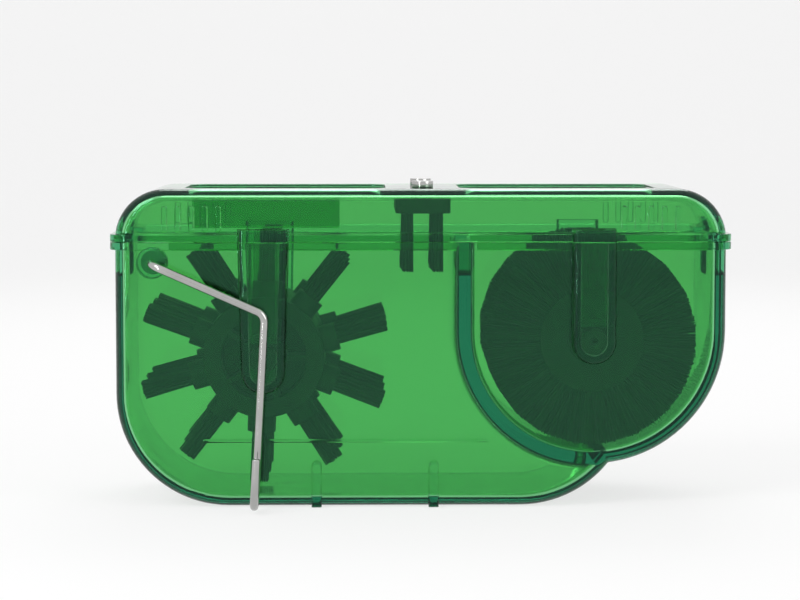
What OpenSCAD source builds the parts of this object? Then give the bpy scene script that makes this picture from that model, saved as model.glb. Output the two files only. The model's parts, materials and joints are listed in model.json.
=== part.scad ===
// Bicycle chain cleaner: a two-chamber bath with a lift-off lid, two brush wheels, a hanging
// brush and a hook wire. X runs along the chain, +Y is the back, Z is up from the bath's underside.

/* [Bath] */
// Half of the bath's length, from its centre to an end wall
tank_half_l = 62; // [61:0.5:68]
// Depth of the bath from front face to back face
tank_depth = 46; // [44:1:56]
// Radius of the bath's two lower corners
tank_corner_r = 27; // [22:1:30]
// Thickness of the bath's walls and floor
wall = 2.2; // [1.8:0.1:2.6]
// Radius on the long front and back edges
edge_r = 3.4; // [3:0.1:4]
// Thickness of the second chamber's U wall
cup_wall = 2.8; // [2.4:0.1:3.2]
// Room between the second chamber's wall and the wipe wheel
cup_clear = 3.7; // [3:0.1:5]
// How far the U wall's centre lies above the wipe wheel's axle
cup_rise = 2.2; // [1:0.1:3]
// Width of the chain notches
notch_w = 11; // [10:0.5:14]
// Depth of the chain notches under the chain's centre line
notch_under_chain = 6.9; // [6:0.1:9]
// Height of the rim above the chain's centre line
rim_above_chain = 2; // [1.5:0.1:4]
// Diameter of the drain hole in the second chamber's floor
drain_d = 2.8; // [2:0.1:3]

/* [Chain] */
// Half of the chain's height
chain_half_h = 4.3; // [4:0.1:4.6]
// How far the scrub wheel's tufts reach past the chain's centre line
scrub_bite = 4.8; // [4.4:0.1:6]
// How far the wipe wheel's bristles reach past the chain's centre line
wipe_bite = 3.75; // [3:0.05:5]
// How far the hanging bristles reach past the chain's centre line
brush_bite = 5.65; // [5:0.05:7]

/* [Scrub wheel] */
// Radius over the tufts of the scrub wheel
scrub_tip_r = 30.5; // [29.5:0.1:31.5]
// Angle of the first tuft
scrub_phase = 15.6; // [0:0.2:36]
// Radius of the hub's drum
scrub_drum_r = 14.5; // [13.5:0.1:15]
// Radius over the tuft sockets
socket_tip_r = 18.2; // [17:0.1:19]
// Diameter of one tuft where it leaves its socket
tuft_d = 4.9; // [4.4:0.1:5.2]
// Room between the tufts and the bath's floor
floor_clear = 3.1; // [2.5:0.1:4]
// Room between the tufts and the bath's end wall
end_clear = 2.7; // [2:0.1:4]

/* [Wipe wheel] */
// Radius over the bristles of the wipe wheel
wipe_tip_r = 25.5; // [24:0.1:26.5]
// Number of bristle tufts round one ring
wipe_tufts = 20; // [16:1:20]
// Radius of the hub's drum
wipe_drum_r = 12.5; // [12:0.1:13]

/* [Axles] */
// Radius of the axle ends
axle_r = 3.2; // [2.8:0.1:3.4]
// How far the axle pockets stand out of the walls
pocket_out = 4; // [3.5:0.1:5]
// Wall of the axle pockets
pocket_wall = 2; // [1.6:0.1:2.2]

/* [Lid] */
// Height of the lid over the rim
lid_h = 12.5; // [11:0.5:16]
// Wall of the lid
lid_wall = 2; // [1.6:0.1:2.4]
// Radius of the lid's two end corners
lid_corner_r = 12; // [10:0.5:12.5]
// Width of the bay between the wheels in which the lid's brush hangs
brush_bay = 16.2; // [15:0.2:20]
// Distance between the two rows of hanging bristles
brush_pitch = 7.2; // [6:0.1:7.5]

/* [Hook wire] */
// Diameter of the wire
wire_d = 2; // [1.6:0.1:2.4]
// Length of the wire's slanting run, from the pivot to the corner
hook_run = 29.4; // [24:0.2:32]
// Length of the wire's leg, from the corner to the top of the J
hook_leg = 41.6; // [36:0.2:42]
// Radius of the J at the wire's middle line
hook_j_r = 3.5; // [3:0.1:5]
// Straight length at the wire's free end
hook_tip_l = 8; // [5:0.5:12]

/* [Hidden] */
$fn = 64;

// Clearances: running fit, seat of a fixed piece, gap between bodies, overrun of cuts
run_gap = 0.05;
seat_gap = 0.02;
piece_gap = 0.3;
over = 1;

scrub_tufts = 10;

green = [0.20, 0.62, 0.32];
black = [0.07, 0.08, 0.08];
steel = [0.80, 0.80, 0.79];

// Wheel places, set by the chain and by the room round each wheel
half_d = tank_depth / 2;
inner_half_d = half_d - wall;
inner_edge_r = edge_r - wall;
scrub_x = -tank_half_l + wall + end_clear + scrub_tip_r;
scrub_z = wall + floor_clear + scrub_tip_r;
chain_z = scrub_z + scrub_tip_r - scrub_bite;
wipe_z = chain_z + wipe_bite - wipe_tip_r;
cup_r = wipe_tip_r + cup_clear + cup_wall;
cup_x = scrub_x + scrub_tip_r + brush_bay + cup_r;
cup_z = wipe_z + cup_rise;
cup_top_x = cup_x + cup_r;
rim_z = chain_z + rim_above_chain;
tunnel_top_z = chain_z + notch_under_chain;

// Rim flange, chain notch, ribs and level line of the bath
rim_out = 1.2;
rim_h = 1.8;
notch_r = 2;
notch_z = chain_z - notch_under_chain;
rib_x = 14;
rib_w = 2.4;
rib_out = 1.2;
rib_top_z = 10;
level_z = 16;
level_w = 0.6;
level_out = 0.4;
level_x = [-41, 27];
drain_in = 1.5;
drain_x = cup_x - drain_in;
drain_z = cup_z - cup_r;

// Axle pockets: place, axle height, half width at the rim, radius and height of the lower end
pocket_low_r = axle_r + run_gap + pocket_wall;
pocket_drop = 3;
pocket_flare = 0.75;
POCKETS = [[scrub_x, scrub_z, pocket_low_r + pocket_flare, scrub_z - pocket_drop],
           [cup_x, wipe_z, pocket_low_r, wipe_z]];
axle_half_l = half_d + pocket_out - pocket_wall - piece_gap;
axle_mark_r = 0.9;
hub_half_w = inner_half_d - piece_gap;
hub_collar_r = 5.6;

// Scrub hub: rows of sockets, tuft roots and end recesses
socket_wall = 0.95;
socket_d = tuft_d + 2 * socket_wall;
side_clear = 2.35;
row_y = inner_half_d - side_clear - tuft_d / 2;
drum_margin = 0.6;
drum_half_w = row_y + socket_d / 2 + drum_margin;
tuft_root_r = 11;
recess_r = 10.2;
recess_depth = 6;
hub_rib_w = 1.4;
hub_ribs = 5;
strand_d = 1.6;
strand_ring_share = 0.33;
strands_round = 6;
strand_lean = 2;
strand_sink = 1;

// Wipe hub: grooves for the brush rings
ring_w = 7.4;
ring_side_clear = 2.1;
ring_y = inner_half_d - ring_side_clear - ring_w / 2;
groove_r = 9.6;
ring_out_r = wipe_drum_r - piece_gap;
wipe_strand_d = 1.4;
wipe_fan = 4;
wipe_lean = 3;
wipe_row_share = 0.25;

// Lid: places, tongues, hold-down ribs, lip and brush
lid_z = rim_z + run_gap * 2;
lid_top_z = lid_z + lid_h;
lid_half_l = (cup_top_x + tank_half_l) / 2;
lid_x = (cup_top_x - tank_half_l) / 2;
lid_inner_edge_r = edge_r - lid_wall;
cap_h = 3;
cap_corner_r = 1.5;
grip_w = 1.2;
grip_out = 0.9;
grip_step = 3.2;
grip_ribs_in_row = 5;
grip_margin = 1.2;
panel_deep = 0.6;
panel_r = 4;
panel_half_w = 15;
panel_from_screws = 9;
panel_from_end = 16;
tongue_rest = 0.5;
lip_h = 1.9;
lip_t = 1.3;
hold_y = 3.2;
hold_t = 1.2;
hold_l = 36;
hold_gap = 0.2;
block_h = 4;
block_rim = 3;
block_half_w = 17;
brush_in = 4.1;
brush_x = scrub_x + scrub_tip_r + brush_in;
brush_tip_z = chain_z - brush_bite;
lid_strands = 8;
lid_strand_step = 4;
lid_strand_d = 1.8;
lid_strand_side = 0.8;
lid_strand_lean = 2;
screw_r = 1.25;
screw_head_r = 2.6;
screw_head_h = 1.6;
screw_l = 5;
screw_y = 10;
screw_slot_w = 0.7;
screw_x = brush_x + brush_pitch / 2;

// Hook wire: pivot, plane of the wire, bends
wire_r = wire_d / 2;
hook_from_end = 9;
hook_below_rim = 4.9;
hook_x = -tank_half_l + hook_from_end;
hook_z = rim_z - hook_below_rim;
hook_y = -(half_d + pocket_out + piece_gap + wire_r);
hook_slant = 23.9;
hook_leg_lean = 3.1;
hook_eye_r = 3;
hook_bend_r = 2.7;
bend_swell = 0.01;
wire_chamfer = 0.3;
boss_r = 3.6;
boss_out = 2.2;
boss_in = 3;
nut_r = 2.9;
nut_t = 0.5;
nut_collar_r = 1.8;
nut_collar_h = 0.9;
wire_past_nut = 1.4;
nut_y = -inner_half_d + boss_in + piece_gap;
wire_inner_y = nut_y + nut_t + nut_collar_h + wire_past_nut;
corner_turn = 90 - hook_slant + hook_leg_lean;
corner_use = hook_bend_r * tan(corner_turn / 2);

// Outline of a flat wall with its two lower corners rounded
module round_low(half_w, h, r) {
    translate([-half_w, r]) square([2 * half_w, h - r]);
    translate([-half_w + r, 0]) square([2 * (half_w - r), r]);
    for (s = [-1, 1]) translate([s * (half_w - r), r]) circle(r);
}

// Outline that starts on the Y axis and has its two outer corners rounded
module round_side(len, half_w, r) {
    translate([0, -half_w]) square([len - r, 2 * half_w]);
    translate([0, -half_w + r]) square([len, 2 * (half_w - r)]);
    for (s = [-1, 1]) translate([len - r, s * (half_w - r)]) circle(r);
}

// Rectangle with four round corners
module round_plan(half_l, half_w, r) {
    square([2 * half_l, 2 * (half_w - r)], center = true);
    square([2 * (half_l - r), 2 * half_w], center = true);
    for (sx = [-1, 1], sy = [-1, 1]) translate([sx * (half_l - r), sy * (half_w - r)]) circle(r);
}

// Trough along X with large lower corners and rounded long edges, its underside at z = 0
module tub(half_l, corner_r, h, half_w, r) {
    flat = half_l - corner_r;
    rotate([90, 0, 90]) linear_extrude(2 * flat, center = true) round_low(half_w, h, r);
    for (s = [-1, 1]) {
        translate([s * flat, 0, corner_r]) rotate([90, 0, 0]) rotate([0, 0, s > 0 ? -90 : 180])
            rotate_extrude(angle = 90) round_side(corner_r, half_w, r);
        translate([s * flat, 0, corner_r]) mirror([s > 0 ? 0 : 1, 0, 0])
            linear_extrude(h - corner_r) round_side(corner_r, half_w, r);
    }
}

// Round-bottomed chamber about the second chamber's centre, open at the top
module cup(r, half_w, e, top_z) {
    translate([cup_x, 0, cup_z]) {
        rotate([90, 0, 0]) rotate([0, 0, 180]) rotate_extrude(angle = 180) round_side(r, half_w, e);
        linear_extrude(top_z - cup_z) round_plan(r, half_w, e);
    }
}

// U-shaped outline with a straight or flared neck, in X and Z
module u_outline(x, neck_half, low_r, low_z, top_z) {
    translate([x, low_z]) circle(low_r);
    polygon([[x - low_r, low_z], [x + low_r, low_z], [x + neck_half, top_z], [x - neck_half, top_z]]);
}

// Plate of an X-Z outline between two depths in front of the middle plane
module front_plate(near, far) {
    translate([0, -near, 0]) rotate([90, 0, 0]) linear_extrude(far - near) children();
}

// The same thing on the front and on the back
module both_sides() {
    for (s = [0, 1]) mirror([0, s, 0]) children();
}

module pocket(p, near, far, grow, top_z) {
    front_plate(near, far) u_outline(p[0], p[2] + grow, pocket_low_r + grow, p[3], top_z);
}

module slot(p, top_z) {
    r = axle_r + run_gap;
    front_plate(inner_half_d - over, half_d + seat_gap) u_outline(p[0], r, r, p[1], top_z);
}

module hook_boss() {
    translate([hook_x, -half_d - boss_out, hook_z]) rotate([-90, 0, 0])
        cylinder(r = boss_r, h = boss_out + wall + boss_in);
}

module foot_ribs() {
    for (x = [-rib_x, rib_x]) {
        translate([x - rib_w / 2, -half_d - rib_out, 0]) cube([rib_w, rib_out + edge_r, rib_top_z]);
        translate([x, -half_d - rib_out, rib_top_z]) rotate([-90, 0, 0])
            cylinder(r = rib_w / 2, h = rib_out + wall / 2);
    }
}

module level_line() {
    translate([level_x[0], -half_d - level_out, level_z - level_w / 2])
        cube([level_x[1] - level_x[0], level_out + wall / 2, level_w]);
}

module rim_plate(grow, z, h) {
    translate([lid_x, 0, z]) linear_extrude(h)
        round_plan(lid_half_l + grow, half_d + grow, edge_r + grow);
}

module chain_notches() {
    translate([lid_x, 0, notch_z]) rotate([90, 0, 90]) linear_extrude(2 * (lid_half_l + 2 * over),
        center = true) round_low(notch_w / 2, rim_z - notch_z + over, notch_r);
}

// The same notches upside down in the lid's two end walls
module lid_notches() {
    for (s = [-1, 1]) translate([lid_x + s * lid_half_l, 0, tunnel_top_z]) mirror([0, 0, 1])
        rotate([90, 0, 90]) linear_extrude(4 * lid_wall, center = true)
            round_low(notch_w / 2, tunnel_top_z - lid_z + over, notch_r);
}

module tank_shell() {
    color(green) difference() {
        union() {
            tub(tank_half_l, tank_corner_r, rim_z, half_d, edge_r);
            cup(cup_r, half_d, edge_r, rim_z);
            rim_plate(rim_out, rim_z - rim_h, rim_h);
            foot_ribs();
            both_sides() for (p = POCKETS)
                pocket(p, half_d - wall / 2, half_d + pocket_out, 0, rim_z);
            hook_boss_outside();
            level_line();
        }
        difference() {
            translate([0, 0, wall])
                tub(tank_half_l - wall, tank_corner_r - wall, rim_z, inner_half_d, inner_edge_r);
            front_plate(-half_d, half_d) u_outline(cup_x, cup_r, cup_r, cup_z, 2 * rim_z);
            hook_boss();
        }
        cup(cup_r - cup_wall, inner_half_d, inner_edge_r, rim_z + over);
        both_sides() for (p = POCKETS) {
            pocket(p, half_d, half_d + pocket_out - pocket_wall, -pocket_wall, rim_z + over);
            slot(p, rim_z + over);
        }
        chain_notches();
        translate([drain_x, 0, drain_z - over / 2]) cylinder(d = drain_d, h = cup_wall + 2 * over);
        translate([hook_x, 0, hook_z]) rotate([90, 0, 0])
            cylinder(r = wire_r + run_gap, h = half_d + boss_out + over);
    }
}

module hook_boss_outside() {
    intersection() {
        hook_boss();
        translate([hook_x, -half_d, hook_z]) cube([4 * boss_r, 2 * wall + 2 * boss_out, 4 * boss_r],
            center = true);
    }
}

// Tongue that closes a pocket and its slot down to the axle's end
module tongue(p) {
    low_z = p[1] + axle_r + tongue_rest;
    neck = p[2] - pocket_wall - piece_gap;
    low_half = pocket_low_r - pocket_wall - piece_gap;
    low_share = (low_z - p[3]) / (rim_z - p[3]);
    at_low = low_half + (neck - low_half) * low_share;
    front_plate(half_d + piece_gap, axle_half_l)
        polygon([[p[0] - at_low, low_z], [p[0] + at_low, low_z],
                 [p[0] + neck, lid_z + cap_h], [p[0] - neck, lid_z + cap_h]]);
    front_plate(inner_half_d + piece_gap, half_d + 2 * piece_gap)
        translate([p[0] - axle_r + piece_gap, low_z])
            square([2 * (axle_r - piece_gap), lid_z + cap_h - low_z]);
}

// Cap of the lid over a pocket
module pocket_cap(p) {
    reach = pocket_out + lid_wall;
    translate([p[0], -half_d - pocket_out + reach / 2, lid_z]) linear_extrude(cap_h)
        round_plan(p[2], reach / 2, cap_corner_r);
}

module lip_ring(half_l, half_w) {
    inner_l = lid_half_l - cup_wall - piece_gap - lip_t;
    inner_w = inner_half_d - piece_gap - lip_t;
    difference() {
        round_plan(half_l, half_w, inner_edge_r);
        square([2 * inner_l, 2 * inner_w], center = true);
    }
}

// Lip inside the rim, cut away at the U wall, the chain and the hook boss
module lid_lip() {
    half_l = lid_half_l - cup_wall - piece_gap;
    half_w = inner_half_d - piece_gap;
    translate([0, 0, lid_z - lip_h]) difference() {
        translate([lid_x, 0, 0]) {
            linear_extrude(lip_h + lid_wall) lip_ring(half_l, half_w);
            translate([0, 0, lip_h]) linear_extrude(lid_wall)
                lip_ring(lid_half_l - lid_wall / 2, half_d - lid_wall / 2);
        }
        translate([cup_x - cup_r - piece_gap, -half_d, -over])
            cube([cup_wall + 2 * piece_gap + inner_edge_r, tank_depth, lip_h + over]);
        translate([-tank_half_l, -notch_w / 2 - over, -over])
            cube([2 * lid_half_l, notch_w + 2 * over, lip_h + lid_wall + 2 * over]);
        translate([-tank_half_l, -half_d, -over])
            cube([hook_x + boss_r + piece_gap + tank_half_l, half_d, lip_h + over]);
    }
}

module hold_down_ribs() {
    low_z = chain_z + chain_half_h + hold_gap;
    for (s = [-1, 1]) translate([scrub_x - hold_l / 2, s * (hold_y + hold_t / 2) - hold_t / 2, low_z])
        cube([hold_l, hold_t, lid_top_z - lid_wall / 2 - low_z]);
}

// Rows of finger ribs on the lid's front and back, at both ends
module grip_ribs() {
    low_z = lid_z + rim_h + grip_margin;
    high_z = lid_top_z - edge_r - grip_margin;
    for (s = [-1, 1], i = [0 : grip_ribs_in_row - 1])
        translate([lid_x + s * (lid_half_l - lid_corner_r - i * grip_step), 0, 0]) both_sides()
            front_plate(half_d - lid_wall / 2, half_d + grip_out) {
                translate([-grip_w / 2, low_z]) square([grip_w, high_z - low_z]);
                for (z = [low_z, high_z]) translate([0, z]) circle(grip_w / 2);
            }
}

// Two sunk panels in the lid's top, one on each side of the screws
module lid_panels() {
    for (s = [-1, 1]) {
        near = screw_x + s * panel_from_screws;
        far = lid_x + s * (lid_half_l - panel_from_end);
        translate([(near + far) / 2, 0, lid_top_z - panel_deep]) linear_extrude(panel_deep + over)
            round_plan(abs(far - near) / 2, panel_half_w, panel_r);
    }
}

module screw_holes(r) {
    for (s = [-1, 1]) translate([screw_x, s * screw_y, lid_top_z - lid_wall - block_h - over])
        cylinder(r = r, h = block_h + lid_wall + 2 * over);
}

module lid_shell() {
    color(green) difference() {
        union() {
            difference() {
                union() {
                    translate([lid_x, 0, lid_top_z]) mirror([0, 0, 1])
                        tub(lid_half_l, lid_corner_r, lid_h, half_d, edge_r);
                    rim_plate(rim_out, lid_z, rim_h);
                    both_sides() for (p = POCKETS) pocket_cap(p);
                }
                translate([lid_x, 0, lid_top_z - lid_wall]) mirror([0, 0, 1])
                    tub(lid_half_l - lid_wall, lid_corner_r - lid_wall, lid_h, half_d - lid_wall,
                        lid_inner_edge_r);
            }
            both_sides() for (p = POCKETS) tongue(p);
            lid_lip();
            hold_down_ribs();
            grip_ribs();
        }
        screw_holes(screw_r + run_gap);
        lid_notches();
        lid_panels();
    }
}

module lid_brush_block() {
    color(black) difference() {
        translate([screw_x, 0, lid_top_z - lid_wall - block_h]) linear_extrude(block_h - seat_gap)
            round_plan(brush_pitch / 2 + block_rim, block_half_w, block_rim / 2);
        screw_holes(screw_r);
        for (x = [brush_x, brush_x + brush_pitch]) lid_strip(x, seat_gap);
    }
}

// Root strip of one hanging row, let into the block
module lid_strip(x, grow) {
    w = lid_strand_d + 2 * lid_strand_side + 2 * grow;
    l = lid_strands * lid_strand_step + 2 * grow;
    translate([x - w / 2, -l / 2, lid_top_z - lid_wall - block_h])
        cube([w, l, block_h / 2 + grow]);
}

module lid_tufts(x) {
    root_z = lid_top_z - lid_wall - block_h + strand_sink;
    color(black) {
        lid_strip(x, 0);
        for (i = [0 : lid_strands - 1], s = [-1, 1])
            translate([x + s * lid_strand_side, (i - (lid_strands - 1) / 2 + s / 4) * lid_strand_step, root_z])
                rotate([180, s * -lid_strand_lean, 0])
                    cylinder(d = lid_strand_d, h = root_z - brush_tip_z, $fn = 4);
    }
}

module brush_screws() {
    color(steel) for (s = [-1, 1]) translate([screw_x, s * screw_y, lid_top_z]) difference() {
        union() {
            cylinder(r = screw_head_r, h = screw_head_h);
            translate([0, 0, -screw_l]) cylinder(r = screw_r - seat_gap, h = screw_l + over / 2);
        }
        for (a = [0, 90]) rotate(a)
            translate([-screw_head_r / 2, -screw_slot_w / 2, screw_head_h / 2])
                cube([screw_head_r, screw_slot_w, screw_head_h]);
    }
}

// Axle along Y with a small centre mark in each end
module axle(x, z) {
    color(black) translate([x, 0, z]) rotate([90, 0, 0]) difference() {
        cylinder(r = axle_r, h = 2 * axle_half_l, center = true);
        for (s = [-1, 1]) translate([0, 0, s * axle_half_l]) sphere(axle_mark_r);
    }
}

// Ring of tuft places on the scrub wheel: runs its children at each, with Z pointing outwards
module at_tufts(y) {
    translate([scrub_x, y, scrub_z]) for (i = [0 : scrub_tufts - 1])
        rotate([0, 90 - scrub_phase - i * 360 / scrub_tufts, 0]) children();
}

module drum_recess() {
    front_plate(drum_half_w - recess_depth, drum_half_w + over) difference() {
        circle(recess_r);
        circle(hub_collar_r);
        for (i = [0 : hub_ribs - 1]) rotate(i * 360 / hub_ribs)
            translate([0, -hub_rib_w / 2]) square([recess_r + over, hub_rib_w]);
    }
}

module scrub_hub() {
    color(black) difference() {
        union() {
            translate([scrub_x, 0, scrub_z]) rotate([90, 0, 0]) {
                cylinder(r = scrub_drum_r, h = 2 * drum_half_w, center = true);
                cylinder(r = hub_collar_r, h = 2 * hub_half_w, center = true);
            }
            for (y = [-row_y, row_y]) at_tufts(y)
                translate([0, 0, tuft_root_r]) cylinder(d = socket_d, h = socket_tip_r - tuft_root_r);
        }
        translate([scrub_x, 0, scrub_z]) {
            rotate([90, 0, 0]) cylinder(r = axle_r + seat_gap, h = tank_depth, center = true);
            both_sides() drum_recess();
        }
        for (y = [-row_y, 0, row_y]) at_tufts(y)
            translate([0, 0, tuft_root_r]) cylinder(d = tuft_d + 2 * seat_gap, h = scrub_tip_r);
    }
}

// Ten tufts of one row, each a bundle of strands on its root plug
module scrub_tufts_row(y, plug_tip_r) {
    root_r = plug_tip_r - strand_sink;
    color(black) at_tufts(y) {
        translate([0, 0, tuft_root_r + seat_gap])
            cylinder(d = tuft_d, h = plug_tip_r - tuft_root_r - seat_gap);
        translate([0, 0, root_r]) cylinder(d = strand_d, h = scrub_tip_r - root_r, $fn = 4);
        for (k = [0 : strands_round - 1]) rotate([0, 0, k * 360 / strands_round])
            translate([tuft_d * strand_ring_share, 0, root_r]) rotate([0, strand_lean, 0])
                cylinder(d = strand_d, h = (scrub_tip_r - root_r) * cos(strand_lean), $fn = 4);
    }
}

module wipe_hub() {
    color(black) translate([cup_x, 0, wipe_z]) rotate([90, 0, 0]) difference() {
        union() {
            cylinder(r = wipe_drum_r, h = 2 * (ring_y + ring_w / 2 + piece_gap), center = true);
            cylinder(r = hub_collar_r, h = 2 * hub_half_w, center = true);
        }
        cylinder(r = axle_r + seat_gap, h = tank_depth, center = true);
        for (y = [-ring_y, 0, ring_y]) translate([0, 0, y]) difference() {
            cylinder(r = wipe_drum_r + over, h = ring_w, center = true);
            cylinder(r = groove_r, h = ring_w, center = true);
        }
    }
}

// One ring of radial bristles on its backing strip
module wipe_bristles(y) {
    root_r = ring_out_r - strand_sink;
    color(black) translate([cup_x, y, wipe_z]) {
        rotate([90, 0, 0]) difference() {
            cylinder(r = ring_out_r, h = ring_w - 2 * seat_gap, center = true);
            cylinder(r = groove_r + seat_gap, h = ring_w, center = true);
        }
        for (i = [0 : wipe_tufts - 1], f = [-1, 1], s = [-1, 1])
            rotate([0, i * 360 / wipe_tufts + f * wipe_fan, 0])
                translate([0, s * ring_w * wipe_row_share, root_r]) rotate([-s * wipe_lean, 0, 0])
                    cylinder(d = wipe_strand_d, h = wipe_tip_r - root_r, $fn = 4);
    }
}

// Straight stretch of wire along Z, then its children
module run(l) {
    cylinder(r = wire_r, h = l);
    translate([0, 0, l]) children();
}

// Bend of the wire towards +X, a hair thicker than the straight wire, then its children
module bend(r, a) {
    translate([r, 0, 0]) mirror([1, 0, 0]) rotate([90, 0, 0])
        rotate_extrude(angle = a) translate([r, 0]) circle(wire_r + bend_swell);
    translate([r - r * cos(a), 0, r * sin(a)]) rotate([0, a, 0]) children();
}

module hook_wire() {
    color(steel) translate([hook_x, wire_inner_y, hook_z]) rotate([90, 0, 0])
        rotate([0, 0, -hook_slant])
            run(wire_inner_y - hook_y - hook_eye_r) bend(hook_eye_r, 90)
                run(hook_run - hook_eye_r - corner_use) rotate([0, 0, -90]) bend(hook_bend_r, corner_turn)
                    run(hook_leg - corner_use) rotate([0, 0, -90]) bend(hook_j_r, 180) run(hook_tip_l)
                        cylinder(r1 = wire_r, r2 = wire_r - wire_chamfer, h = wire_chamfer);
}

module hook_push_nut() {
    color(steel) translate([hook_x, nut_y, hook_z]) rotate([-90, 0, 0]) difference() {
        union() {
            cylinder(r = nut_r, h = nut_t);
            cylinder(r = nut_collar_r, h = nut_t + nut_collar_h);
        }
        translate([0, 0, -over]) cylinder(r = wire_r + seat_gap, h = nut_t + nut_collar_h + 2 * over);
    }
}

tank_shell();
lid_shell();
lid_brush_block();
lid_tufts(brush_x);  // lid_tufts_left
lid_tufts(brush_x + brush_pitch);  // lid_tufts_right
brush_screws();
axle(scrub_x, scrub_z);  // scrub_axle
scrub_hub();
scrub_tufts_row(-row_y, socket_tip_r);  // scrub_tufts_front
scrub_tufts_row(0, scrub_drum_r);  // scrub_tufts_middle
scrub_tufts_row(row_y, socket_tip_r);  // scrub_tufts_rear
axle(cup_x, wipe_z);  // wipe_axle
wipe_hub();
wipe_bristles(-ring_y);  // wipe_bristles_front
wipe_bristles(0);  // wipe_bristles_middle
wipe_bristles(ring_y);  // wipe_bristles_rear
hook_wire();
hook_push_nut();
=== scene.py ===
"""Looks of a bicycle chain cleaner: clear bath and lid, two brush wheels, hanging brush, hook wire.

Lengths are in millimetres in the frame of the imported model, and finished() turns them into metres.
"""

import json
import logging
import math
import random
from dataclasses import dataclass
from enum import Enum
from typing import Any

import bmesh
import bpy
from mathutils import Matrix, Vector

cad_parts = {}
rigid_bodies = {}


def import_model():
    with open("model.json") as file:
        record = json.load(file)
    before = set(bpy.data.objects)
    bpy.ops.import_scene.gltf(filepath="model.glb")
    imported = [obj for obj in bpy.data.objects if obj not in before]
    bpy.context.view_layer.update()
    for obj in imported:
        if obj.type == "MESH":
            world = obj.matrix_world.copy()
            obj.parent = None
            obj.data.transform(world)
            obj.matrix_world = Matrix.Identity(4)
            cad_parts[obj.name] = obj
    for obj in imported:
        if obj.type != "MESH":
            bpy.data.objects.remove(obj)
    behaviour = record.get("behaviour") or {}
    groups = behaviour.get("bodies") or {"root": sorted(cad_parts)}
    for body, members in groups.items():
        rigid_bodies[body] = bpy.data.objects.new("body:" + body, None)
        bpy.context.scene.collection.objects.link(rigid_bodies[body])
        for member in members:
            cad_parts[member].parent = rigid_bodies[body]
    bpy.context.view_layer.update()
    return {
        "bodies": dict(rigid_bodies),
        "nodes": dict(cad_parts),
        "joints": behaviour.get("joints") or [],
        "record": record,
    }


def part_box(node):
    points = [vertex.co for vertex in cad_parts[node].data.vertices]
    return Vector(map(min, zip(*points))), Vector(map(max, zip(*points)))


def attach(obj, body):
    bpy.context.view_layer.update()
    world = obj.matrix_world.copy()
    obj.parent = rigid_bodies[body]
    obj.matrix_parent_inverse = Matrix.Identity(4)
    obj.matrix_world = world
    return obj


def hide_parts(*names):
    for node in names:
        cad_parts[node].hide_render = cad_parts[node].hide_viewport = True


Colour = tuple[float, float, float]
Place = tuple[float, float, float]
Span = tuple[float, float]
Frame = dict[str, Any]

MM = 0.001
WHITE: Colour = (1.0, 1.0, 1.0)
NOISE_MIDDLE: Span = (0.3, 0.7)
SAME_POINT = 1e-4
CAD_SAME_POINT = 1e-3
FLAT_ANGLE = math.radians(0.3)
SHARP_ANGLE = math.radians(35.0)
SMOOTH_ANGLE = math.radians(50.0)
EDGE_STEPS = 2
HEXAGON_ROWS = 0.866
IMAGE_WIDTH = 800
LOG = logging.getLogger("chain_cleaner")


class Slot(Enum):
    """Material slots of the record."""

    GREEN = "green_plastic"
    BLACK = "black_plastic"
    BRISTLE = "bristle"
    STEEL = "stainless_steel"


class Body(Enum):
    """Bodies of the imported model."""

    TANK = "tank"
    LID = "lid"
    SCRUB = "scrub_wheel"
    WIPE = "wipe_wheel"
    HOOK = "hook"


@dataclass(frozen=True)
class Finish:
    """A material, and the record's slot that it belongs to."""

    slot: Slot
    material: bpy.types.Material


@dataclass(frozen=True)
class Pattern:
    """A noise: width of one feature, octaves, and how much longer it is along each axis."""

    size: float
    detail: float = 2.0
    stretch: Place = (1.0, 1.0, 1.0)


class NodeTree:
    """A node tree, with short ways to fill it."""

    def __init__(self, tree: bpy.types.NodeTree) -> None:
        """Takes the tree that it fills."""
        self.tree = tree

    def add(self, kind: str, **values: Any) -> bpy.types.Node:
        """Adds a node.

        Args:
            kind: the node's type name.
            values: properties of the node, set as they are named.

        Returns:
            The new node.
        """
        node = self.tree.nodes.new(kind)
        for key, value in values.items():
            setattr(node, key, value)
        return node

    def join(self, source: bpy.types.NodeSocket, target: bpy.types.NodeSocket) -> None:
        """Links two sockets."""
        self.tree.links.new(source, target)

    def seen_rays(self) -> bpy.types.NodeSocket:
        """Adds a switch for rays that show the background: camera, glossy and transmission rays.

        Returns:
            The switch's value, which is 1 for these rays.
        """
        rays = self.add("ShaderNodeLightPath")
        total = rays.outputs["Is Camera Ray"]
        for name in ("Is Glossy Ray", "Is Transmission Ray"):
            adding = self.add("ShaderNodeMath", operation="MAXIMUM")
            self.join(total, adding.inputs[0])
            self.join(rays.outputs[name], adding.inputs[1])
            total = adding.outputs[0]
        return total


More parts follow.
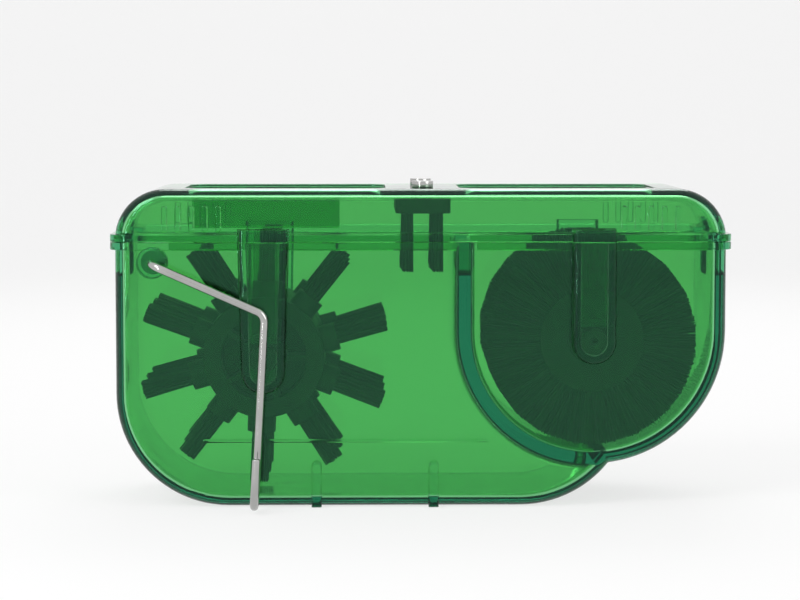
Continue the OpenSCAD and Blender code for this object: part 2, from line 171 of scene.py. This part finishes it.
class Shader(NodeTree):
    """A material's node tree with one Principled shader, and short ways to feed it."""

    def __init__(self, name: str) -> None:
        """Starts a material with this name."""
        self.material = bpy.data.materials.new(name)
        self.material.use_nodes = True
        super().__init__(self.material.node_tree)
        self.surface = self.tree.nodes["Principled BSDF"]
        self.place = self.add("ShaderNodeTexCoord").outputs["Object"]

    def noise(self, pattern: Pattern) -> bpy.types.NodeSocket:
        """Adds a noise on the piece's own coordinates.

        Args:
            pattern: the noise's size and form.

        Returns:
            The noise's factor.
        """
        mapping = self.add("ShaderNodeMapping")
        mapping.inputs["Scale"].default_value = [1 / share for share in pattern.stretch]
        self.join(self.place, mapping.inputs["Vector"])
        noise = self.add("ShaderNodeTexNoise")
        noise.inputs["Scale"].default_value = 1 / (pattern.size * MM)
        noise.inputs["Detail"].default_value = pattern.detail
        self.join(mapping.outputs["Vector"], noise.inputs["Vector"])
        return noise.outputs["Fac"]

    def span(self, factor: bpy.types.NodeSocket, values: Span) -> bpy.types.NodeSocket:
        """Spreads a noise's middle range between two values.

        Args:
            factor: the noise's factor.
            values: the values at its low and at its high end.

        Returns:
            The spread value.
        """
        ranged = self.add("ShaderNodeMapRange")
        sockets = ("From Min", "From Max", "To Min", "To Max")
        for socket, value in zip(sockets, (*NOISE_MIDDLE, *values)):
            ranged.inputs[socket].default_value = value
        self.join(factor, ranged.inputs["Value"])
        return ranged.outputs["Result"]

    def blend(self, factor: bpy.types.NodeSocket, first: Colour,
              second: Colour) -> bpy.types.NodeSocket:
        """Mixes two colours by a factor.

        Args:
            factor: share of the second colour.
            first: colour at 0.
            second: colour at 1.

        Returns:
            The mixed colour.
        """
        mix = self.add("ShaderNodeMix", data_type="RGBA")
        colours = [socket for socket in mix.inputs if socket.type == "RGBA"]
        colours[0].default_value, colours[1].default_value = (*first, 1), (*second, 1)
        self.join(factor, mix.inputs["Factor"])
        return next(socket for socket in mix.outputs if socket.type == "RGBA")

    def relief(self, height: bpy.types.NodeSocket, depth: float) -> None:
        """Bumps the surface.

        Args:
            height: the relief's factor.
            depth: its depth in millimetres.
        """
        bump = self.add("ShaderNodeBump")
        bump.inputs["Distance"].default_value = depth * MM
        bump.inputs["Strength"].default_value = 1.0
        self.join(height, bump.inputs["Height"])
        self.join(bump.outputs["Normal"], self.surface.inputs["Normal"])


@dataclass(frozen=True)
class ClearPlastic:
    """Clear tinted moulding: pale where one looks through a wall, deep where one looks along it."""

    name: str = "clear_green_plastic"
    surface_tint: Colour = (0.30, 0.68, 0.29)
    mirrored: Colour = (0.35, 0.95, 0.65)
    passed: Colour = (0.167, 0.717, 0.71)
    density: float = 120.0
    refraction: float = 1.49
    haze: Pattern = Pattern(14.0, 3.0)
    gloss: Span = (0.015, 0.05)
    flow: Pattern = Pattern(9.0, 1.0)
    flow_depth: float = 0.05

    def material(self) -> bpy.types.Material:
        """Returns the material."""
        shader = Shader(self.name)
        surface = shader.surface.inputs
        surface["Base Color"].default_value = (*self.surface_tint, 1)
        surface["Transmission Weight"].default_value = 1.0
        surface["IOR"].default_value = self.refraction
        surface["Specular Tint"].default_value = (*self.mirrored, 1)
        shader.join(shader.span(shader.noise(self.haze), self.gloss), surface["Roughness"])
        shader.relief(shader.noise(self.flow), self.flow_depth)
        absorption = shader.add("ShaderNodeVolumeAbsorption")
        absorption.inputs["Color"].default_value = (*self.passed, 1)
        absorption.inputs["Density"].default_value = self.density
        output = shader.tree.nodes["Material Output"]
        shader.join(absorption.outputs["Volume"], output.inputs["Volume"])
        return shader.material


@dataclass(frozen=True)
class MouldedBlack:
    """Satin black moulding with a fine grain and slightly polished patches."""

    name: str = "satin_black_plastic"
    dark: Colour = (0.010, 0.011, 0.011)
    pale: Colour = (0.020, 0.022, 0.022)
    patches: Pattern = Pattern(6.0, 3.0)
    gloss: Span = (0.46, 0.60)
    grain: Pattern = Pattern(1.6)
    grain_depth: float = 0.003

    def material(self) -> bpy.types.Material:
        """Returns the material."""
        shader = Shader(self.name)
        surface = shader.surface.inputs
        patches = shader.noise(self.patches)
        shader.join(shader.blend(patches, self.dark, self.pale), surface["Base Color"])
        shader.join(shader.span(patches, self.gloss), surface["Roughness"])
        shader.relief(shader.noise(self.grain), self.grain_depth)
        return shader.material


@dataclass(frozen=True)
class Nylon:
    """Black nylon filament, a little paler from strand to strand."""

    name: str = "black_nylon_bristle"
    dark: Colour = (0.006, 0.007, 0.007)
    pale: Colour = (0.022, 0.024, 0.025)
    strands: Pattern = Pattern(0.9)
    gloss: Span = (0.38, 0.6)

    def material(self) -> bpy.types.Material:
        """Returns the material."""
        shader = Shader(self.name)
        surface = shader.surface.inputs
        strands = shader.noise(self.strands)
        shader.join(shader.blend(strands, self.dark, self.pale), surface["Base Color"])
        shader.join(shader.span(strands, self.gloss), surface["Roughness"])
        return shader.material


@dataclass(frozen=True)
class Stainless:
    """Drawn or turned stainless steel with fine scratches."""

    name: str = "drawn_stainless_steel"
    dark: Colour = (0.36, 0.36, 0.35)
    pale: Colour = (0.48, 0.48, 0.47)
    cloud: Pattern = Pattern(4.0, 4.0)
    gloss: Span = (0.10, 0.20)
    scratches: Pattern = Pattern(0.6, 3.0, (1.0, 1.0, 6.0))
    scratch_depth: float = 0.0015

    def material(self) -> bpy.types.Material:
        """Returns the material."""
        shader = Shader(self.name)
        surface = shader.surface.inputs
        surface["Metallic"].default_value = 1.0
        cloud = shader.noise(self.cloud)
        shader.join(shader.blend(cloud, self.dark, self.pale), surface["Base Color"])
        shader.join(shader.span(cloud, self.gloss), surface["Roughness"])
        shader.relief(shader.noise(self.scratches), self.scratch_depth)
        return shader.material


@dataclass(frozen=True)
class PaperWhite:
    """White sweep that shows as plain white and still takes the object's shadow."""

    name: str = "white_sweep"
    colour: Colour = (0.86, 0.86, 0.86)
    roughness: float = 0.9
    glow: float = 1.0
    glow_share: float = 0.72

    def material(self) -> bpy.types.Material:
        """Returns the material."""
        shader = Shader(self.name)
        shader.surface.inputs["Base Color"].default_value = (*self.colour, 1)
        shader.surface.inputs["Roughness"].default_value = self.roughness
        seen = shader.seen_rays()
        share = shader.add("ShaderNodeMath", operation="MULTIPLY")
        share.inputs[1].default_value = self.glow_share
        shader.join(seen, share.inputs[0])
        light = shader.add("ShaderNodeEmission")
        light.inputs["Strength"].default_value = self.glow
        mix = shader.add("ShaderNodeMixShader")
        shader.join(share.outputs[0], mix.inputs[0])
        shader.join(shader.surface.outputs["BSDF"], mix.inputs[1])
        shader.join(light.outputs["Emission"], mix.inputs[2])
        shader.join(mix.outputs[0], shader.tree.nodes["Material Output"].inputs["Surface"])
        return shader.material


def only(geometry: list[Any], kind: type) -> list[Any]:
    """Picks the elements of one kind, such as the edges, from an operator's result."""
    return [element for element in geometry if isinstance(element, kind)]


def is_sharp(edge: bmesh.types.BMEdge) -> bool:
    """Tells whether two faces meet at an edge at more than SHARP_ANGLE."""
    return len(edge.link_faces) == 2 and edge.calc_face_angle(0) > SHARP_ANGLE


def bevelled(bm: bmesh.types.BMesh, edges: list[bmesh.types.BMEdge], width: float,
             segments: int) -> None:
    """Bevels these edges.

    Args:
        bm: the shape.
        edges: its edges that get the bevel.
        width: the bevel's width in the shape's own unit.
        segments: steps of the bevel.
    """
    bmesh.ops.bevel(bm, geom=edges, offset=width, offset_type="OFFSET", segments=segments,
                    profile=0.5, affect="EDGES", clamp_overlap=False, material=-1,
                    loop_slide=True)


def rounded(bm: bmesh.types.BMesh, width: float) -> None:
    """Bevels every sharp edge by this width."""
    bevelled(bm, [edge for edge in bm.edges if is_sharp(edge)], width, EDGE_STEPS)


class WireBender:
    """Feeds a round wire and bends it, one stretch after the other."""

    def __init__(self, start: Vector, way: Vector, radius: float, sides: int = 24) -> None:
        """Starts a wire.

        Args:
            start: middle of its first end.
            way: direction in which it leaves.
            radius: the wire's radius.
            sides: flats round the wire.
        """
        self.bm = bmesh.new()
        self.radius = radius
        self.place, self.way = start.copy(), way.normalized()
        turn = self.way.to_track_quat("Z", "Y").to_matrix().to_4x4()
        bmesh.ops.create_circle(self.bm, cap_ends=True, segments=sides, radius=radius,
                                matrix=Matrix.Translation(start) @ turn)
        self.end = list(self.bm.edges)

    def feed(self, length: float) -> None:
        """Feeds a straight stretch of this length."""
        moved = bmesh.ops.extrude_edge_only(self.bm, edges=self.end)["geom"]
        step = self.way * length
        bmesh.ops.translate(self.bm, vec=step, verts=only(moved, bmesh.types.BMVert))
        self.end = only(moved, bmesh.types.BMEdge)
        self.place += step

    def bend(self, towards: Vector, radius: float, angle: float, steps: int) -> None:
        """Bends the wire.

        Args:
            towards: direction, square to the wire, to which it bends.
            radius: the bend's radius at the wire's middle line.
            angle: the bend's angle in degrees.
            steps: stretches in the bend.
        """
        axis = self.way.cross(towards).normalized()
        centre = self.place + towards.normalized() * radius
        moved = bmesh.ops.spin(self.bm, geom=self.end, cent=centre, axis=axis,
                               angle=math.radians(angle), steps=steps)["geom_last"]
        self.end = only(moved, bmesh.types.BMEdge)
        turn = Matrix.Rotation(math.radians(angle), 3, axis)
        self.place = centre + turn @ (self.place - centre)
        self.way = turn @ self.way

    def cut(self, chamfer: float) -> bmesh.types.BMesh:
        """Cuts the wire off with a chamfer of this width, and returns the finished wire."""
        self.feed(chamfer)
        rim = {corner for edge in self.end for corner in edge.verts}
        bmesh.ops.scale(self.bm, vec=(1 - chamfer / self.radius,) * 3, verts=list(rim),
                        space=Matrix.Translation(-self.place))
        bmesh.ops.edgeloop_fill(self.bm, edges=self.end)
        bmesh.ops.remove_doubles(self.bm, verts=self.bm.verts, dist=SAME_POINT)
        bmesh.ops.recalc_face_normals(self.bm, faces=self.bm.faces)
        return self.bm


def cad_copy(frame: Frame, node: str) -> bmesh.types.BMesh:
    """Copies a CAD node's mesh, in millimetres, merged and with its flat faces joined.

    Args:
        node: the node's name.

    Returns:
        The copy.
    """
    bm = bmesh.new()
    bm.from_mesh(frame["nodes"][node].data)
    bmesh.ops.scale(bm, vec=(1 / MM,) * 3, verts=bm.verts)
    bmesh.ops.remove_doubles(bm, verts=bm.verts, dist=CAD_SAME_POINT)
    bmesh.ops.dissolve_limit(bm, angle_limit=FLAT_ANGLE, use_dissolve_boundaries=False,
                             verts=bm.verts, edges=bm.edges)
    return bm


def put_in_order(bm: bmesh.types.BMesh) -> None:
    """Sorts edges and faces by their corners, because operators can leave them in any order."""
    bm.verts.index_update()
    for elements in (bm.edges, bm.faces):
        ranked = sorted(elements, key=lambda part: sorted(corner.index for corner in part.verts))
        rank = {part: place for place, part in enumerate(ranked)}
        elements.sort(key=rank.get)


def finished(bm: bmesh.types.BMesh, name: str, body: Body, finish: Finish, node: str) -> None:
    """Makes a piece from a shape in millimetres and sets it on its body.

    Args:
        bm: the shape, which is used up.
        name: the piece's name.
        body: the body that it rides on.
        finish: its material and slot.
        node: the CAD node that it stands for.
    """
    bmesh.ops.scale(bm, vec=(MM,) * 3, verts=bm.verts)
    for edge in bm.edges:
        edge.smooth = len(edge.link_faces) == 2 and edge.calc_face_angle(0) < SMOOTH_ANGLE
    for face in bm.faces:
        face.smooth = True
    put_in_order(bm)
    mesh = bpy.data.meshes.new(name)
    bm.to_mesh(mesh)
    bm.free()
    if "custom_normal" in mesh.attributes:
        mesh.attributes.remove(mesh.attributes["custom_normal"])
    mesh.materials.clear()
    mesh.materials.append(finish.material)
    piece = bpy.data.objects.new(name, mesh)
    bpy.context.scene.collection.objects.link(piece)
    weighted = piece.modifiers.new("even_flats", "WEIGHTED_NORMAL")
    weighted.keep_sharp = True
    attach(piece, body.value)
    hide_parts(node)
    LOG.info("%s: %d faces on %s", name, len(mesh.polygons), body.value)


def softened(frame: Frame, node: str, edge: float, name: str, body: Body,
             finish: Finish) -> None:
    """Makes a piece from a CAD node with its sharp edges rounded.

    Args:
        node: the CAD node.
        edge: width of the rounding.
        name: the piece's name.
        body: the body that it rides on.
        finish: its material and slot.
    """
    shape = cad_copy(frame, node)
    rounded(shape, edge)
    finished(shape, name, body, finish, node)


def joint_place(frame: Frame, joint: str) -> Vector:
    """Returns a joint's place in millimetres."""
    found = next(row for row in frame["joints"] if row["name"] == joint)
    return Vector(found["pos_m"]) / MM


@dataclass(frozen=True)
class Tuft:
    """A bundle of cut bristles that leaves one hole along Z.

    The hole's half widths come first, then the lean in degrees of the bristles at its rim. The
    roots stand in staggered rows, one step apart, each off its place by up to scatter. Stray is
    the spread of the lean in degrees, uneven that of the length, and most_twist is in radians.
    """

    half_x: float
    half_y: float
    lean_x: float
    lean_y: float
    root: float
    tip: float
    step: float = 0.44
    scatter: float = 0.06
    stray: float = 0.7
    thickness: float = 0.36
    tip_share: float = 0.46
    sides: int = 3
    most_twist: float = 2.0
    round_hole: bool = True
    uneven: float = 0.25

    def mesh(self, seed: int) -> bpy.types.Mesh:
        """Makes the bundle.

        Args:
            seed: which of the slightly different bundles to make.

        Returns:
            The bundle's mesh, in millimetres.
        """
        rng = random.Random(seed)
        bm = bmesh.new()
        rows = int(self.half_y / (self.step * HEXAGON_ROWS))
        columns = int(self.half_x / self.step) + 1
        for row in range(-rows, rows + 1):
            for column in range(-columns, columns + 1):
                across = (column + 0.5 * (row % 2)) * self.step
                along = row * self.step * HEXAGON_ROWS
                x = across + rng.uniform(-self.scatter, self.scatter)
                y = along + rng.uniform(-self.scatter, self.scatter)
                u, v = x / self.half_x, y / self.half_y
                if max(abs(u), abs(v)) <= 1 and (not self.round_hole or math.hypot(u, v) <= 1):
                    self.bristle(bm, rng, x, y)
        mesh = bpy.data.meshes.new(f"bundle_{seed}")
        bm.to_mesh(mesh)
        bm.free()
        return mesh

    def bristle(self, bm: bmesh.types.BMesh, rng: random.Random, x: float, y: float) -> None:
        """Adds one bristle.

        Args:
            bm: the bundle.
            rng: the bundle's random numbers.
            x: root's place across.
            y: root's place along the hole's other side.
        """
        lean_x = math.radians(self.lean_x * (x / self.half_x) + rng.gauss(0, self.stray))
        lean_y = math.radians(self.lean_y * (y / self.half_y) + rng.gauss(0, self.stray))
        way = Vector((math.tan(lean_x), math.tan(lean_y), 1))
        height = self.tip - self.root - abs(rng.gauss(0, self.uneven))
        turn = way.to_track_quat("Z", "Y").to_matrix().to_4x4()
        middle = Matrix.Translation(Vector((x, y, self.root)) + way * height / 2)
        twist = Matrix.Rotation(rng.uniform(0, self.most_twist), 4, "Z")
        bmesh.ops.create_cone(bm, cap_ends=True, segments=self.sides, radius1=self.thickness / 2,
                              radius2=self.thickness * self.tip_share,
                              depth=way.length * height, matrix=middle @ turn @ twist)


def planted(tuft: Tuft, places: list[Matrix], variants: int = 5) -> bmesh.types.BMesh:
    """Plants tufts at their places.

    Args:
        tuft: the tuft that every place gets.
        places: where each tuft's hole is, with its Z axis pointing out.
        variants: how many different bundles take turns.

    Returns:
        All the bristles as one shape.
    """
    bundles = [tuft.mesh(seed) for seed in range(variants)]
    bm = bmesh.new()
    for index, place in enumerate(places):
        first = len(bm.verts)
        bm.from_mesh(bundles[index % variants])
        bm.verts.ensure_lookup_table()
        bmesh.ops.transform(bm, matrix=place, verts=bm.verts[first:])
    for bundle in bundles:
        bpy.data.meshes.remove(bundle)
    return bm


def round_the_axle(centre: Vector, y: float, count: int, phase: float) -> list[Matrix]:
    """Lists places round a wheel, each with its Z axis pointing outwards.

    Args:
        centre: the wheel's centre.
        y: the row's place along the axle.
        count: places in one turn.
        phase: angle of the first place above +X, in degrees.

    Returns:
        One matrix for each place.
    """
    middle = Matrix.Translation((centre.x, y, centre.z))
    return [middle @ Matrix.Rotation(math.radians(90 - phase - i * 360 / count), 4, "Y")
            for i in range(count)]


def middle_y(node: str) -> float:
    """Returns the middle of a CAD node along Y, in millimetres."""
    low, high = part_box(node)
    return (low.y + high.y) / 2 / MM


@dataclass
class Bath:
    """The clear bath with its second chamber."""

    frame: Frame
    edge: float = 0.18
    pocket_face: float = 27.0
    pocket_round: float = 1.4
    pocket_steps: int = 4
    inner_face: float = 20.8
    partition_from: float = 12.0
    fillet: float = 1.6
    fillet_steps: int = 5
    rib_face: float = 24.2
    rib_top: float = 12.0
    rib_round: float = 0.7
    rib_steps: int = 3
    lip_seat: float = 61.2
    lip_slack: float = 0.05
    face_slack: float = 0.02

    def build(self, plastic: Finish) -> None:
        """Builds the bath's one moulding."""
        shell = cad_copy(self.frame, "tank_shell")
        pockets = self.edges_at(shell, self.pocket_face, True)
        bevelled(shell, pockets, self.pocket_round, self.pocket_steps)
        self.cut_at_lip(shell, self.partition_corners(shell))
        bevelled(shell, self.partition_corners(shell), self.fillet, self.fillet_steps)
        ribs = self.edges_at(shell, self.rib_face, True, most_z=self.rib_top)
        bevelled(shell, ribs, self.rib_round, self.rib_steps)
        rounded(shell, self.edge)
        for corner in shell.verts:
            corner.co.z = max(corner.co.z, 0.0)
        finished(shell, "bath_moulding", Body.TANK, plastic, "tank_shell")

    def partition_corners(self, shell: bmesh.types.BMesh) -> list[bmesh.types.BMEdge]:
        """Finds the corners between the second chamber's wall and the front and back walls."""
        return self.edges_at(shell, self.inner_face, False, least_x=self.partition_from)

    def edges_at(self, shell: bmesh.types.BMesh, depth: float, convex: bool,
                 least_x: float = -math.inf,
                 most_z: float = math.inf) -> list[bmesh.types.BMEdge]:
        """Finds sharp edges in the planes in front of and behind the middle, below the lip.

        Args:
            shell: the bath's shape.
            depth: the planes' distance from the middle.
            convex: outer edges if true, inner corners if false.
            least_x: how far left the search reaches.
            most_z: how far up the search reaches.

        Returns:
            The edges.
        """
        def wanted(edge: bmesh.types.BMEdge) -> bool:
            """Tells whether an edge is one of these."""
            places = [corner.co for corner in edge.verts]
            in_plane = all(abs(abs(p.y) - depth) < self.face_slack for p in places)
            in_reach = all(p.x > least_x and p.z < most_z for p in places)
            under_lip = any(p.z < self.lip_seat - self.lip_slack for p in places)
            return (in_plane and in_reach and under_lip and is_sharp(edge)
                    and edge.is_convex == convex)
        return [edge for edge in shell.edges if wanted(edge)]

    def cut_at_lip(self, shell: bmesh.types.BMesh, edges: list[bmesh.types.BMEdge]) -> None:
        """Cuts the faces at these edges where the lid's lip ends, so that a bevel can stop there.

        Args:
            shell: the bath's shape.
            edges: its inner corners.
        """
        faces = {face for edge in edges for face in edge.link_faces}
        sides = {edge for face in faces for edge in face.edges}
        corners = {corner for face in faces for corner in face.verts}
        bmesh.ops.bisect_plane(shell, geom=[*corners, *sides, *faces], dist=SAME_POINT,
                               plane_co=(0, 0, self.lip_seat), plane_no=(0, 0, 1))


@dataclass
class Lid:
    """The lid with the brush that hangs from it."""

    frame: Frame
    edge: float = 0.18
    block_edge: float = 0.2
    screw_edge: float = 0.12
    rows: tuple[str, str] = ("left", "right")
    tufts_in_row: int = 8
    tuft_step: float = 4.0
    hole: Span = (1.2, 1.6)
    lean: Span = (0.9, 1.5)
    sunk: float = 2.0
    bristle_step: float = 0.42

    def build(self, plastic: Finish, black: Finish, nylon: Finish, steel: Finish) -> None:
        """Builds the lid, its brush and its screws."""
        softened(self.frame, "lid_shell", self.edge, "lid_moulding", Body.LID, plastic)
        softened(self.frame, "lid_brush_block", self.block_edge, "brush_block", Body.LID, black)
        softened(self.frame, "brush_screws", self.screw_edge, "brush_block_screws", Body.LID,
                 steel)
        for row in self.rows:
            self.hanging_row(row, nylon)

    def hanging_row(self, row: str, nylon: Finish) -> None:
        """Builds one row of hanging bristles.

        Args:
            row: which row.
            nylon: its finish.
        """
        node = f"lid_tufts_{row}"
        low, high = (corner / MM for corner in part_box(node))
        under_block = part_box("lid_brush_block")[0].z / MM
        x = (low.x + high.x) / 2
        tuft = Tuft(*self.hole, *self.lean, root=-self.sunk, tip=under_block - low.z,
                    step=self.bristle_step)
        first = -(self.tufts_in_row - 1) / 2 * self.tuft_step
        down = Matrix.Rotation(math.pi, 4, "X")
        places = [Matrix.Translation((x, first + i * self.tuft_step, under_block)) @ down
                  for i in range(self.tufts_in_row)]
        finished(planted(tuft, places), f"hanging_bristles_{row}", Body.LID, nylon, node)


@dataclass
class ScrubWheel:
    """The wheel with ten tufts in each of three rows."""

    frame: Frame
    hub_edge: float = 0.15
    axle_edge: float = 0.3
    tufts: int = 10
    phase: float = 15.6
    drum_radius: float = 14.5
    socket_tip: float = 18.2
    hole: Span = (2.1, 2.1)
    lean: Span = (0.7, 0.7)
    sunk: float = 1.5
    tip: float = 30.4
    rows: tuple[str, str, str] = ("front", "middle", "rear")

    def build(self, black: Finish, nylon: Finish) -> None:
        """Builds the hub, the axle and the three rows of tufts."""
        centre = joint_place(self.frame, "scrub_wheel_spin")
        softened(self.frame, "scrub_hub", self.hub_edge, "scrub_drum", Body.SCRUB, black)
        softened(self.frame, "scrub_axle", self.axle_edge, "scrub_spindle", Body.SCRUB, black)
        for row in self.rows:
            node = f"scrub_tufts_{row}"
            mouth = self.drum_radius if row == "middle" else self.socket_tip
            tuft = Tuft(*self.hole, *self.lean, root=mouth - self.sunk, tip=self.tip)
            places = round_the_axle(centre, middle_y(node), self.tufts, self.phase)
            finished(planted(tuft, places), f"scrub_bristles_{row}", Body.SCRUB, nylon, node)


@dataclass
class WipeWheel:
    """The dense brush in the second chamber."""

    frame: Frame
    hub_edge: float = 0.15
    axle_edge: float = 0.3
    tufts: int = 20
    phase: float = 0.0
    drum_radius: float = 12.2
    hole: Span = (1.75, 3.3)
    lean: Span = (8.2, 1.2)
    sunk: float = 1.0
    tip: float = 25.2
    bristle_step: float = 0.42
    uneven: float = 0.2
    rows: tuple[str, str, str] = ("front", "middle", "rear")

    def build(self, black: Finish, nylon: Finish) -> None:
        """Builds the hub, the axle and the three brush rings."""
        centre = joint_place(self.frame, "wipe_wheel_spin")
        softened(self.frame, "wipe_hub", self.hub_edge, "wipe_drum", Body.WIPE, black)
        softened(self.frame, "wipe_axle", self.axle_edge, "wipe_spindle", Body.WIPE, black)
        tuft = Tuft(*self.hole, *self.lean, root=self.drum_radius - self.sunk, tip=self.tip,
                    step=self.bristle_step, round_hole=False, uneven=self.uneven)
        for row in self.rows:
            node = f"wipe_bristles_{row}"
            places = round_the_axle(centre, middle_y(node), self.tufts, self.phase)
            finished(planted(tuft, places), f"wipe_ring_{row}", Body.WIPE, nylon, node)


@dataclass
class HookWire:
    """The bent wire that holds on to the derailleur, with its push nut."""

    frame: Frame
    radius: float = 1.0
    inner_end: float = -14.7
    plane: float = -28.3
    eye_radius: float = 3.0
    slant: float = 23.9
    run: float = 29.4
    corner_radius: float = 2.7
    bend_steps: int = 12
    lean: float = 3.1
    leg: float = 41.6
    hook_radius: float = 3.5
    hook_steps: int = 24
    tip: float = 8.0
    chamfer: float = 0.3
    nut_edge: float = 0.12

    def build(self, steel: Finish) -> None:
        """Bends the wire and builds its push nut."""
        pivot = joint_place(self.frame, "hook_swing")
        start = Vector((pivot.x, self.inner_end, pivot.z))
        slant = math.radians(self.slant)
        wire = WireBender(start, Vector((0, -1, 0)), self.radius)
        wire.feed(self.inner_end - self.plane - self.eye_radius)
        along_run = Vector((math.cos(slant), 0, -math.sin(slant)))
        wire.bend(along_run, self.eye_radius, 90, self.bend_steps)
        corner = 90 - self.slant + self.lean
        used = self.corner_radius * math.tan(math.radians(corner / 2))
        wire.feed(self.run - self.eye_radius - used)
        below_run = Vector((-math.sin(slant), 0, -math.cos(slant)))
        wire.bend(below_run, self.corner_radius, corner, self.bend_steps)
        wire.feed(self.leg - used)
        wire.bend(Vector((0, -1, 0)), self.hook_radius, 180, self.hook_steps)
        wire.feed(self.tip)
        finished(wire.cut(self.chamfer), "bent_wire", Body.HOOK, steel, "hook_wire")
        softened(self.frame, "hook_push_nut", self.nut_edge, "push_nut", Body.HOOK, steel)


@dataclass(frozen=True)
class Lamp:
    """A soft lamp: its name, place, size across in millimetres and power in watts."""

    name: str
    place: Place
    size: Span
    power: float


@dataclass
class Studio:
    """Camera, lamps, world and the white sweep."""

    camera_place: Place = (-3.57, -613.0, 96.9)
    aim: Place = (0.01614, 1.0, -0.0799)
    focal_pixels: float = 2486.0
    sensor: float = 36.0
    clip: Span = (0.01, 20.0)
    fill: float = 0.62
    lamps: tuple[Lamp, ...] = (
        Lamp("key", (-420.0, -520.0, 560.0), (360.0, 360.0), 2.6),
        Lamp("fill", (520.0, -420.0, 320.0), (420.0, 420.0), 1.0),
        Lamp("back", (60.0, 480.0, 520.0), (420.0, 420.0), 1.4),
        Lamp("strip", (-330.0, -520.0, 130.0), (40.0, 420.0), 0.8),
    )
    lamp_aim: Place = (11.0, 0.0, 40.0)
    floor_drop: float = 0.15
    floor_half: float = 1500.0
    floor_from: float = -900.0
    floor_run: float = 1700.0
    sweep_radius: float = 300.0
    sweep_steps: int = 16
    backdrop_height: float = 900.0

    def build(self) -> None:
        """Builds all of the studio."""
        self.camera()
        self.world()
        for lamp in self.lamps:
            self.hang(lamp)
        self.sweep()
        bpy.context.scene.view_settings.view_transform = "Standard"

    def camera(self) -> None:
        """Sets the camera to the photograph's viewing angle."""
        data = bpy.data.cameras.new("camera")
        data.sensor_width = self.sensor
        data.lens = self.focal_pixels / IMAGE_WIDTH * self.sensor
        data.clip_start, data.clip_end = self.clip
        camera = bpy.data.objects.new("camera", data)
        camera.location = Vector(self.camera_place) * MM
        camera.rotation_mode = "QUATERNION"
        camera.rotation_quaternion = Vector(self.aim).to_track_quat("-Z", "Y")
        bpy.context.scene.collection.objects.link(camera)
        bpy.context.scene.camera = camera

    def world(self) -> None:
        """Gives soft light from everywhere and a white background."""
        world = bpy.data.worlds.new("studio")
        bpy.context.scene.world = world
        world.use_nodes = True
        nodes = NodeTree(world.node_tree)
        nodes.tree.nodes.clear()
        lighting, shown = (nodes.add("ShaderNodeBackground") for _ in range(2))
        lighting.inputs["Strength"].default_value = self.fill
        shown.inputs["Strength"].default_value = 1.0
        for background in (lighting, shown):
            background.inputs["Color"].default_value = (*WHITE, 1)
        mix = nodes.add("ShaderNodeMixShader")
        nodes.join(nodes.seen_rays(), mix.inputs[0])
        nodes.join(lighting.outputs[0], mix.inputs[1])
        nodes.join(shown.outputs[0], mix.inputs[2])
        nodes.join(mix.outputs[0], nodes.add("ShaderNodeOutputWorld").inputs["Surface"])

    def hang(self, lamp: Lamp) -> None:
        """Hangs one soft lamp, round or oblong, that points at the object."""
        data = bpy.data.lights.new(lamp.name, "AREA")
        width, height = lamp.size
        data.shape = "DISK" if width == height else "RECTANGLE"
        data.energy = lamp.power
        data.size, data.size_y = width * MM, height * MM
        light = bpy.data.objects.new(lamp.name, data)
        light.location = Vector(lamp.place) * MM
        light.rotation_mode = "QUATERNION"
        way = Vector(self.lamp_aim) - Vector(lamp.place)
        light.rotation_quaternion = way.to_track_quat("-Z", "Y")
        bpy.context.scene.collection.objects.link(light)

    def sweep(self) -> None:
        """Builds the floor that curves up into the backdrop."""
        bm = bmesh.new()
        ends = [bm.verts.new((x, self.floor_from, -self.floor_drop))
                for x in (-self.floor_half, self.floor_half)]
        front = bm.edges.new(ends)
        floor = bmesh.ops.extrude_edge_only(bm, edges=[front])["geom"]
        bmesh.ops.translate(bm, vec=(0, self.floor_run, 0), verts=only(floor, bmesh.types.BMVert))
        centre = (0, self.floor_from + self.floor_run, self.sweep_radius - self.floor_drop)
        bent = bmesh.ops.spin(bm, geom=only(floor, bmesh.types.BMEdge), cent=centre,
                              axis=(1, 0, 0), angle=math.pi / 2, steps=self.sweep_steps)
        rising = only(bent["geom_last"], bmesh.types.BMEdge)
        raised = bmesh.ops.extrude_edge_only(bm, edges=rising)["geom"]
        bmesh.ops.translate(bm, vec=(0, 0, self.backdrop_height),
                            verts=only(raised, bmesh.types.BMVert))
        bmesh.ops.scale(bm, vec=(MM,) * 3, verts=bm.verts)
        mesh = bpy.data.meshes.new("sweep")
        bm.to_mesh(mesh)
        bm.free()
        mesh.materials.append(PaperWhite().material())
        for face in mesh.polygons:
            face.use_smooth = True
        sweep = bpy.data.objects.new("sweep", mesh)
        bpy.context.scene.collection.objects.link(sweep)


def main() -> None:
    """Builds the dressed object and its studio."""
    logging.basicConfig(level=logging.INFO, format="%(name)s: %(message)s")
    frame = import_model()
    Studio().build()
    plastic = Finish(Slot.GREEN, ClearPlastic().material())
    black = Finish(Slot.BLACK, MouldedBlack().material())
    nylon = Finish(Slot.BRISTLE, Nylon().material())
    steel = Finish(Slot.STEEL, Stainless().material())
    Bath(frame).build(plastic)
    Lid(frame).build(plastic, black, nylon, steel)
    ScrubWheel(frame).build(black, nylon)
    WipeWheel(frame).build(black, nylon)
    HookWire(frame).build(steel)


if __name__ == "__main__":
    main()
